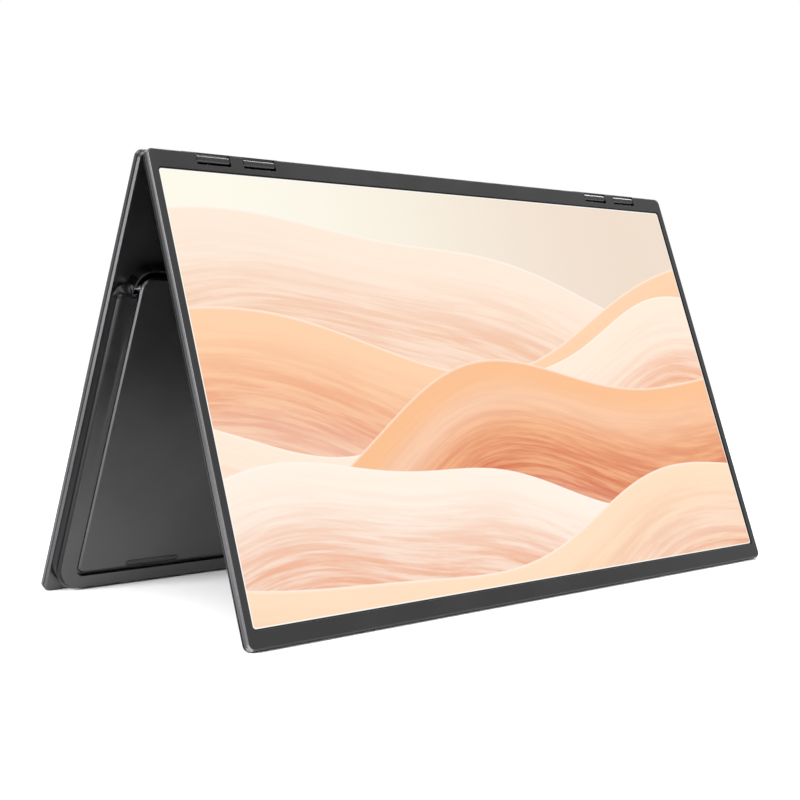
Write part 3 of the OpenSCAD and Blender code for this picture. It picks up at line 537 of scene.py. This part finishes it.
def litScreen(name):
    # a lit panel that shows silky dunes drawn in fine strands, on the piece's own UV map in millimetres
    finish = Finish(name)
    uv = finish.node("ShaderNodeUVMap", {"uv_map": "screen"})
    right = finish.node("ShaderNodeSeparateXYZ", None, {0: uv}, "X")
    up = finish.node("ShaderNodeSeparateXYZ", None, {0: uv}, "Y")
    width, height = leaf["screenWidth"] / leaf["screenHeight"], 1.0
    paper = wallpaper
    picture = finish.blend((right / width).smooth(*paper["skyRange"]), *paper["sky"])
    foldWave, foldSize, foldStart = paper["fold"]
    for level, slope, broad, fine, light, deep in paper["dunes"]:
        wave = (right * broad[1] + broad[2]).sin() * broad[0] + (right * fine[1] + fine[2]).sin() * fine[0]
        depth = wave + right * slope + level - up
        fold = depth + (right * foldWave + broad[2]).sin() * foldSize * depth.smooth(0.0, foldStart)
        along = finish.node("ShaderNodeCombineXYZ", None, {
            0: right * paper["drift"], 1: fold * paper["strands"], 2: level * paper["apart"]})
        strands = finish.noise(*paper["strandNoise"], along).smooth(*paper["strandRange"])
        strands = strands * paper["strandStrength"] * depth.smooth(0.0, paper["strandStart"])
        sheen = (fold * paper["sheenWaves"][0] + right * paper["sheenWaves"][1] + broad[2]).sin()
        sheen = (sheen * 0.5 + 0.5).power(2.0) * paper["sheenStrength"] * depth.smooth(*paper["sheenRange"])
        crest = (1 - depth.smooth(0.0, paper["crest"])) * paper["crestStrength"]
        veil = (1 - depth.smooth(0.0, paper["veil"])) * paper["veilStrength"]
        body = finish.blend(depth.smooth(0.0, paper["deepAt"]), light, deep)
        body = finish.blend(strands, body, shade(light, paper["strandLight"]))
        body = finish.blend(sheen, body, paper["sheenColour"])
        body = finish.blend(crest, body, paper["crestColour"])
        body = finish.blend(veil, body, light)
        picture = finish.blend(depth.smooth(0.0, paper["outline"]), picture, body)
    # millimetres from the picture's edge, with rounded corners
    radius, scale = paper["cornerRadius"], leaf["screenHeight"]
    sideways = (radius - (width / 2 - (right - width / 2).absolute()) * scale).highest(0.0)
    upwards = (radius - (height / 2 - (up - height / 2).absolute()) * scale).highest(0.0)
    edge = radius - (sideways * sideways + upwards * upwards).power(0.5)
    picture = finish.blend(edge.smooth(*paper["border"]), paper["borderColour"], picture)
    # the black line round the picture: partly the panel's own black border, partly painted shade of the window's
    # edge
    picture = finish.blend(edge.smooth(*paper["mask"]), paper["blackLineAndShadeColour"], picture)
    finish.set(
        colour=(0.01, 0.01, 0.01, 1), roughness=0.32, specular=0.25, glow=picture,
        glowStrength=paper["glow"])
    return finish.material


def makeFinishes():
    made = {
        "shell": anodised("darkAnodised", rgb(84, 84, 85), 0.34),
        "bezel": anodised("bezelAnodised", rgb(64, 64, 65), 0.36),
        # painted light and shade as copies of the anodised metal: a lit band and a shade band for the rims' sides,
        # deep painted shade for the seam and the hump's walls, and brighter copies as painted highlights on
        # chamfers and clips
        "painted_lit_band": anodised("paintedLitBand", rgb(80, 80, 82), 0.3),
        "painted_shade_band": anodised("paintedShadeBand", rgb(52, 52, 53), 0.34),
        "painted_deep_shade": anodised("paintedDeepShade", rgb(20, 20, 21), 0.4),
        "painted_highlight_edge": anodised("paintedHighlightEdge", rgb(130, 130, 132), 0.24),
        "painted_soft_highlight": anodised("paintedSoftHighlight", rgb(86, 86, 88), 0.26),
        "link_metal": anodised("linkMetal", rgb(68, 68, 70), 0.22),
        "button_metal": anodised("buttonMetal", rgb(110, 110, 112), 0.3),
        "lit_screen": litScreen("litScreen"),
        "dark_screen": darkGlass("darkGlass"),
        "film": mouldedPlastic("whiteFilm", rgb(240, 240, 240), 0.5),
        "light_guide": mouldedPlastic("acrylic", rgb(225, 238, 242), 0.2),
        "led_bar": mouldedPlastic("ledStrip", rgb(240, 228, 150), 0.4),
        "tray": plainMetal("pressedSheet", rgb(200, 202, 205), 0.4),
        "steel": plainMetal("brightSteel", rgb(190, 192, 196), 0.3),
        "bronze": plainMetal("bronze", rgb(190, 150, 90), 0.35),
        "board": circuitBoard("circuitBoard", rgb(22, 84, 58)),
        "ribbon": mouldedPlastic("amberFilm", rgb(178, 112, 40), 0.35),
        "black_plastic": mouldedPlastic("blackPlastic", rgb(34, 34, 36), 0.5),
        "rubber": mouldedPlastic("mattRubber", rgb(50, 50, 51), 0.75, 1800),
    }
    slots = {part["node"]: part["material_slot"] for part in frame["record"]["subparts"]}
    for name, obj in nodes.items():
        obj.data.materials.clear()
        obj.data.materials.append(made[slots[name]])
    return made


def isEdgeAt(depth):
    return lambda a, b: near(a.y, depth) and near(b.y, depth)


def notchCutters():
    half, through = leaf["notchWidth"] / 2, leaf["through"]
    return join("cutters", [
        block("notch", (x - half, -through, leaf["height"] - leaf["notchDepth"]),
              (x + half, leaf["thickness"] + through, leaf["height"] + through))
        for x in notchCentres])


def makeBezel(side):
    corner, through = leaf["corner"], leaf["through"]
    body = plate(side + "Bezel", leaf["width"], 0, leaf["height"], 0, leaf["seam"], corner, corner)
    bevelEdges(body, isEdgeAt(0), leaf["chamfer"])
    bevelEdges(body, isEdgeAt(leaf["seam"]), leaf["seamBevel"])
    low, high = leaf["screenBottom"], leaf["screenBottom"] + leaf["screenHeight"]
    radius = leaf["windowRadius"]
    carve(body, plate("window", leaf["screenWidth"], low, high, -through, through, radius, radius))
    grow, radius = leaf["overlap"] + leaf["panelGap"], leaf["panelRadius"]
    carve(body, plate("pocket", leaf["screenWidth"] + 2 * grow, low - grow, high + grow,
                      leaf["lip"], leaf["pocketBack"], radius, radius))
    carve(body, notchCutters())
    settle(body, side, side + "_leaf", "shell", [side + "_bezel"], finishes["bezel"], leaf["soft"])
    paintRim(body, side)


def backPlate(name):
    corner = leaf["corner"]
    body = plate(
        name, leaf["width"], 0, leaf["height"], leaf["seam"], leaf["thickness"], corner, corner)
    bevelEdges(body, isEdgeAt(leaf["thickness"]), leaf["innerChamfer"])
    bevelEdges(body, isEdgeAt(leaf["seam"]), leaf["seamBevel"])
    return body


def makeDisplayBack():
    body = backPlate("displayBack")
    rim, corner = leaf["rim"], leaf["corner"] - leaf["rim"]
    carve(body, plate(
        "pocket", leaf["width"] - 2 * rim, rim, leaf["height"] - leaf["notchDepth"] - rim,
        leaf["seam"] - leaf["through"], leaf["thickness"] - leaf["skin"], corner, corner))
    carve(body, notchCutters())
    settle(body, "display", "display_leaf", "shell", ["display_back_cover"], width=leaf["soft"])
    paintRim(body, "display")


def makePanel(side, slot):
    grow, radius = leaf["overlap"], leaf["panelRadius"]
    low, high = leaf["screenBottom"], leaf["screenBottom"] + leaf["screenHeight"]
    body = plate(side + "Panel", leaf["screenWidth"] + 2 * grow, low - grow, high + grow,
                 leaf["lip"], leaf["lip"] + leaf["cell"], radius, radius)
    layer = body.data.uv_layers.get("screen") or body.data.uv_layers.new(name="screen")
    for loop in body.data.loops:
        point = body.data.vertices[loop.vertex_index].co
        across, upward = point.x + leaf["screenWidth"] / 2, point.z - low
        layer.data[loop.index].uv = (across / leaf["screenHeight"], upward / leaf["screenHeight"])
    return settle(body, side, side + "_leaf", slot, [side + "_panel"])


hump = {
    "half": leaf["width"] / 2 - 0.85, "bottom": 2.6, "top": leaf["height"] - 61, "face": 10.2,
    "lowRadius": 14, "topRadius": 3.2, "fillet": 1.8, "draft": 0.3, "floor": 8.5, "steps": 16, "clear": 14,
    # the shoulder slopes up behind the hump's top, a hair lower than its face so that no two faces coincide
    "shoulderRise": 2.9, "shoulderSlope": 4.0, "shoulderCorner": 1, "shoulderLow": 30, "shoulderInset": 0.1,
    "shoulderStep": 0.01, "collar": 2.8, "collarWall": 0.8, "collarFillet": 0.5, "collarRadius": 2,
    "headFloor": 5.4, "headRadius": 0.5, "straight": 0.2, "roots": (0.3, 0.25, 0.2), "paintFrom": 0.2,
}
kick = {
    "half": hump["half"] - 11, "bottom": hump["bottom"] + 9, "top": hump["top"] + 7.3, "thickness": 1.6,
    "topRadius": 5.5, "lowRadius": 3.0, "chamfer": 0.8, "gap": 1.0, "fingerGap": 1.8, "axisDrop": 5.1,
    "axisDepth": 2.2, "earRadius": 1.7, "earLength": 3.2, "earGap": 0.4, "earRoot": 0.2, "troughRadius": 1,
    "steps": 14, "soft": 0.1, "highlightTilt": (0.15, 0.97), "highlightWidth": 3, "through": 1,
    "pinRadius": 0.9, "pinFit": 0.04,
}
strip = {"length": 29, "height": 2.2, "place": 124, "low": 1.2, "gap": 0.3, "depth": 0.8, "soft": 0.15}
magnet = {"place": 90, "up": 10, "radius": 4, "depth": 0.8, "fit": 0.1}
clips = {
    "gap": 0.3, "low": 3.6, "high": 1.2, "floor": 5.4, "top": 9.6, "proud": 0.1, "cut": 0.9, "wall": 0.6,
    "lowArm": 1.4, "highArm": 0.5, "pinFit": 0.03, "soft": 0.15,
}
kickAxis = (hump["face"] - kick["axisDepth"], kick["top"] - kick["axisDrop"])
sockets = {
    "usbC": [40, 58], "depth": 5.6, "usbSize": (8.94, 3.2), "hdmi": 78, "hdmiSize": (11.2, 3.2),
    "hdmiCut": 1.1, "fit": 0.15, "shellFit": 0.02, "sink": 0.2, "length": 7.6, "bore": 7.8, "clear": 3, "wall": 0.3,
    "tongue": 0.7, "tongueSide": 1.4, "tongueShort": 0.8, "tongueSoft": 0.08, "soft": 0.06,
    "jack": (5.5, 24), "jackRadius": 2.35, "jackBore": 1.8, "ringFit": 0.05, "ring": (0.6, 0.12),
    "sides": 40,
    "speakerPlace": 40, "slots": 9, "slotPitch": 3.2, "slotHalf": 0.6, "slotDepths": (1.2, 3.6),
    "slotReach": (1, 1.2),
}
buttons = {
    "depth": 6.3, "places": [hump["top"] - 18, hump["top"] - 30, hump["top"] - 42], "lengths": [8, 6, 6],
    "height": 2.4, "proud": 0.5, "names": ["power", "plus", "minus"], "hole": 0.3, "well": 2,
    "flange": 1.95, "flangeGrow": 1.2, "flangeThickness": 0.7, "engraving": 0.15, "stroke": 0.3,
    "arm": 0.75, "soft": 0.12,
}


def recess(name, bottom, front, lowRadius):
    # a cutter with the kickstand's outline and the gap around it
    return plate(
        name, 2 * (kick["half"] + kick["gap"]), bottom, kick["top"] + kick["gap"], front, hump["clear"],
        lowRadius, kick["topRadius"] + kick["gap"])


def clipPockets():
    inner = kick["half"] + kick["gap"] - clips["cut"]
    outer = kick["half"] + kick["gap"] + hump["collar"] + clips["proud"] + clips["gap"]
    low, high = kickAxis[1] - clips["low"] - clips["gap"], kickAxis[1] + clips["high"] + clips["gap"]
    return [
        block("clipPocket", (start, clips["floor"], low), (end, hump["clear"], high))
        for start, end in ((-outer, -inner), (inner, outer))]


def makeHousing():
    body = backPlate("coverHousing")
    face, top, steps = hump["face"], hump["top"], hump["steps"]
    mainRoot, shoulderRoot, collarRoot = (leaf["thickness"] - root for root in hump["roots"])
    main = plate("hump", 2 * hump["half"], hump["bottom"], top, mainRoot, face,
                 hump["lowRadius"], hump["topRadius"], steps=steps)
    bevelEdges(main, isEdgeAt(face), hump["fillet"] + hump["draft"], 8)
    radius, lower = hump["shoulderSlope"] + hump["shoulderCorner"], face - hump["shoulderStep"]
    shoulder = plate("shoulder", 2 * hump["half"] - hump["shoulderInset"], top - hump["shoulderLow"],
                     top + hump["shoulderRise"], shoulderRoot, lower, radius, radius)
    bevelEdges(shoulder, isEdgeAt(lower), hump["shoulderSlope"])
    carve(main, shoulder, "UNION")
    topRadius = kick["topRadius"] + kick["gap"]
    collar = plate("collar", 2 * (kick["half"] + kick["gap"] + hump["collar"]), top - hump["shoulderLow"],
                   kick["top"] + kick["gap"] + hump["collar"], collarRoot, face,
                   hump["collarRadius"], topRadius + hump["collar"], steps=steps)
    bevelEdges(collar, isEdgeAt(face), hump["collarFillet"], 4)
    carve(main, collar, "UNION")
    carve(main, join("cutters", clipPockets()))
    carve(body, main, "UNION")
    lowRadius = kick["lowRadius"] + (kick["gap"] + kick["fingerGap"]) / 2
    carve(body, recess("recess", kick["bottom"] - kick["fingerGap"], hump["floor"], lowRadius))
    troughBottom = kickAxis[1] - kick["earRadius"] - kick["earGap"]
    carve(body, recess("trough", troughBottom, leaf["thickness"], kick["troughRadius"]))
    headGap = hump["collar"] - hump["collarWall"]
    headBottom = kick["top"] + kick["gap"] - topRadius - hump["headRadius"] - hump["straight"]
    carve(body, plate("head", 2 * (kick["half"] + kick["gap"] + headGap), headBottom,
                      kick["top"] + kick["gap"] + headGap, hump["headFloor"], hump["clear"],
                      hump["headRadius"], topRadius + headGap, steps=steps))
    carve(body, notchCutters())
    carve(body, join("cutters", socketCutters()))
    settle(body, "cover", "cover_leaf", "shell", ["cover_housing"], width=leaf["soft"])
    paintRim(body, "cover")

    # painted shade: the hump's side walls get deep painted shade and its sloping faces and fillets the painted
    # shade band
    def onHump(place, normal, low, high):
        return place.y > leaf["thickness"] + hump["paintFrom"] and low < abs(normal.x) <= high

    slope, wall, most = facing["slope"], facing["humpWall"], facing["most"]
    paint(body, "cover", finishes["painted_deep_shade"], lambda p, n: onHump(p, n, wall, most))
    paint(body, "cover", finishes["painted_shade_band"], lambda p, n: onHump(p, n, slope, wall))


def hdmiShape(name, grow, start, end):
    # a flat box whose two edges on the screen's side are cut off
    length, height = (size / 2 + grow for size in sockets["hdmiSize"])
    y, z = sockets["depth"], sockets["hdmi"]
    obj = block(name, (start, y - height, z - length), (end, y + height, z + length))
    flat = y - height
    bevelEdges(
        obj, lambda a, b: near(a.y, flat) and near(b.y, flat) and near(a.z, b.z), sockets["hdmiCut"])
    return obj


def usbShape(name, place, grow, start, end):
    length, height = (size + 2 * grow for size in sockets["usbSize"])
    return pillBar(name, length, height, start, end, (sockets["depth"], place))


def socketCutters():
    inside, outside, fit = hump["half"] - sockets["bore"], hump["half"] + sockets["clear"], sockets["fit"]
    cutters = [usbShape("usb", place, fit, inside, outside) for place in sockets["usbC"]]
    cutters.append(hdmiShape("hdmi", fit, inside, outside))
    y, z = sockets["jack"]
    cutters.append(bar("jack", sockets["jackRadius"], inside, outside, "X", sockets["sides"], (0, y, z)))
    hole, well = buttons["hole"], hump["half"] - buttons["well"]
    for place, length in zip(buttons["places"], buttons["lengths"]):
        cutters.append(pillBar("button", length + hole, buttons["height"] + hole, well, outside,
                               (buttons["depth"], place)))
    half = sockets["slotHalf"]
    front, back = (leaf["thickness"] + depth for depth in sockets["slotDepths"])
    low, high = hump["bottom"] - sockets["slotReach"][0], hump["bottom"] + sockets["slotReach"][1]
    for side in (-1, 1):
        for i in range(sockets["slots"]):
            step = i - (sockets["slots"] - 1) / 2
            x = side * sockets["speakerPlace"] + step * sockets["slotPitch"]
            cutters.append(block("slot", (x - half, front, low), (x + half, back, high)))
    return cutters


def makeSockets():
    # hollow shells with a tongue inside, open to the right
    end = hump["half"] - sockets["sink"]
    start, wall, fit = end - sockets["length"], sockets["wall"], sockets["shellFit"]
    soft, past = sockets["soft"], end + leaf["through"]
    shells, tongues = [], []
    for place in sockets["usbC"]:
        shell = usbShape("usbShell", place, -fit, start, end)
        carve(shell, usbShape("usbMouth", place, -wall, start + wall, past))
        shells.append(shell)
    settle(join("usbShells", shells), "cover", "cover_leaf", "steel", ["usb_c_ports"], width=soft)
    shell = hdmiShape("hdmiShell", -fit, start, end)
    carve(shell, hdmiShape("hdmiMouth", -wall, start + wall, past))
    settle(shell, "cover", "cover_leaf", "steel", ["mini_hdmi_port"], width=soft)
    y, thick, tip = sockets["depth"], sockets["tongue"] / 2, end - sockets["tongueShort"]
    spots = [(v, sockets["usbSize"]) for v in sockets["usbC"]] + [(sockets["hdmi"], sockets["hdmiSize"])]
    for place, size in spots:
        half = size[0] / 2 - sockets["tongueSide"]
        low, high = (start + wall, y - thick, place - half), (tip, y + thick, place + half)
        tongues.append(block("tongue", low, high))
    settle(join("socketTongues", tongues), "cover", "cover_leaf", "black_plastic",
           width=sockets["tongueSoft"])
    centre, sides, (behind, ahead) = (0,) + sockets["jack"], sockets["sides"], sockets["ring"]
    ring = bar("jackRing", sockets["jackRadius"] - sockets["ringFit"], end - behind, end + ahead, "X",
               sides, centre)
    through = 2 * leaf["through"]
    carve(ring, bar("jackBore", sockets["jackBore"], end - through, end + through, "X", sides, centre))
    settle(ring, "cover", "cover_leaf", "steel", width=soft)


def makeButtons():
    outer, through = hump["half"] + buttons["proud"], leaf["through"]
    flange, thin = hump["half"] - buttons["flange"], buttons["stroke"] / 2
    deep = outer - buttons["engraving"]
    grow, inner = buttons["flangeGrow"], flange + buttons["flangeThickness"]
    for name, place, length in zip(buttons["names"], buttons["places"], buttons["lengths"]):
        y, arm = buttons["depth"], buttons["arm"]
        cap = pillBar(name + "Cap", length, buttons["height"], flange, outer, (y, place))
        if name == "power":
            mark = bar("ring", arm, deep, outer + through, "X", 32, (0, y, place))
            carve(mark, bar("hub", arm - 2 * thin, outer - through, outer + 2 * through, "X", 32,
                            (0, y, place)))
        else:
            mark = block("across", (deep, y - thin, place - arm), (outer + through, y + thin, place + arm))
        carve(cap, mark)
        if name == "plus":
            low, high = (deep, y - arm, place - thin), (outer + through, y + arm, place + thin)
            carve(cap, block("upright", low, high))
        rest = pillBar("flange", length + grow, buttons["height"] + grow, flange, inner, (y, place))
        piece = join(name + "Button", [cap, rest])
        settle(piece, "cover", name + "_button", "button_metal", [name + "_button"],
               width=buttons["soft"])


def makeKickstand():
    face, through, soft = hump["face"], kick["through"], kick["soft"]
    under, stripFloor = face - kick["thickness"], face - strip["depth"]
    body = plate("kickstandPlate", 2 * kick["half"], kick["bottom"], kick["top"], under, face,
                 kick["lowRadius"], kick["topRadius"], steps=kick["steps"])
    bevelEdges(body, isEdgeAt(face), kick["chamfer"])
    for side in (-1, 1):
        carve(body, stripShape("stripPocket", side, stripFloor, face + through, strip["gap"]))
        carve(body, bar("magnetPocket", magnet["radius"] + magnet["fit"], under - through,
                        under + magnet["depth"], "Y", 48,
                        (side * magnet["place"], 0, kick["bottom"] + magnet["up"])))
    settle(body, "cover", "kickstand", "shell", ["kickstand_plate"], width=soft)
    # a painted highlight on the plate's chamfer along its two sides
    least, most = kick["highlightTilt"]
    sideStart = kick["half"] - kick["highlightWidth"]
    paint(body, "cover", finishes["painted_soft_highlight"], lambda p, n: least < n.y < most and abs(p.x) > sideStart)
    strips = [stripShape("strip", side, stripFloor, face, 0) for side in (-1, 1)]
    settle(join("kickstandStrips", strips), "cover", "kickstand", "rubber", ["kickstand_strips"],
           width=strip["soft"])
    (y, z), radius, hole = kickAxis, kick["earRadius"], kick["pinRadius"] + kick["pinFit"]
    ears = []
    for side in (-1, 1):
        start, end = sorted((side * (kick["half"] - kick["earLength"]), side * kick["half"]))
        ear = bar("ear", radius, start, end, "X", 32, (0, y, z))
        web = block("web", (start, y, z - radius), (end, under + kick["earRoot"], z + radius))
        carve(ear, web, "UNION")
        carve(ear, bar("hole", hole, start - through, end + through, "X", 24, (0, y, z)))
        ears.append(ear)
    settle(join("kickstandEars", ears), "cover", "kickstand", "shell", width=soft)


def stripShape(name, side, front, back, grow):
    # a flat round-ended strip near the plate's free edge
    length, height = strip["length"] + 2 * grow, strip["height"] + 2 * grow
    z = kick["bottom"] + strip["low"] + strip["height"] / 2
    radius = height / 2 - 0.01
    return plate(name, length, z - height / 2, z + height / 2, front, back, radius, radius,
                 side * strip["place"], 8)


def makeClips():
    # a bent bracket on each side: an outer tab that holds the pin, and an arm above and below it
    made = []
    low, high = kickAxis[1] - clips["low"], kickAxis[1] + clips["high"]
    inner = kick["half"] + kick["gap"] + clips["gap"]
    outer = kick["half"] + kick["gap"] + hump["collar"] + clips["proud"]
    floor, wall, through = clips["floor"], clips["wall"], kick["through"]
    hole = kick["pinRadius"] + clips["pinFit"]
    for side in (-1, 1):
        start, end = sorted((side * inner, side * outer))
        clip = block("clip", (start, floor, low), (end, clips["top"], high))
        left, right = sorted((side * (inner - through), side * (outer - wall)))
        carve(clip, block("hollow", (left, floor + wall, low + clips["lowArm"]),
                          (right, hump["clear"], high - clips["highArm"])))
        carve(clip, bar("hole", hole, start - through, end + through, "X", 32, (0,) + kickAxis))
        made.append(clip)
    # the clips take the painted highlight finish, a brighter copy of the metal, so that their outlines read as lit
    settle(join("kickstandClips", made), "cover", "cover_leaf", "link_metal", ["kickstand_clips"],
           finishes["painted_highlight_edge"], clips["soft"])


link = {"radius": 2.1, "spacing": 6.0, "gap": 0.4, "soft": 0.35, "sides": 12}


def makeLinks():
    parts = []
    half = leaf["notchWidth"] / 2 - link["gap"]
    radius, reach = link["radius"], link["spacing"] / 2 + link["radius"]
    for x in notchCentres:
        part = block("link", (x - half, -reach, -radius), (x + half, reach, radius))
        bevelEdges(part, lambda a, b: near(a.y, b.y) and near(a.z, b.z), radius - 0.002, link["sides"])
        parts.append(part)
    soften(join("linkCovers", parts), link["soft"], 3)
    settle(parts[0], "link", "hinge_links", "link_metal", ["link_covers"])


ground = {"size": 2.6, "shades": (rgb(252, 252, 252), rgb(254, 254, 254)), "roughness": 0.7}


def makeFloor():
    finish = Finish("paleFloor")
    finish.set(colour=finish.blend(finish.noise(3, 2), *ground["shades"]), roughness=ground["roughness"])
    bpy.ops.object.select_all(action="DESELECT")
    bpy.ops.mesh.primitive_plane_add(size=1, location=(0, 0, 0))
    floor = bpy.context.object
    floor.name = "floor"
    floor.scale = (ground["size"], ground["size"], 1)
    bpy.ops.object.transform_apply(location=True, rotation=True, scale=True)
    floor.data.materials.append(finish.material)


makeCamera()
makeLights()
makeStudio()
finishes = makeFinishes()
makeFloor()
print("stage and finishes made")
for side, slot in (("display", "lit_screen"), ("cover", "dark_screen")):
    makeBezel(side)
    makePanel(side, slot)
makeDisplayBack()
print("leaves made")
makeHousing()
makeKickstand()
makeClips()
makeSockets()
makeButtons()
print("housing and kickstand made")
makeLinks()
print("links made")
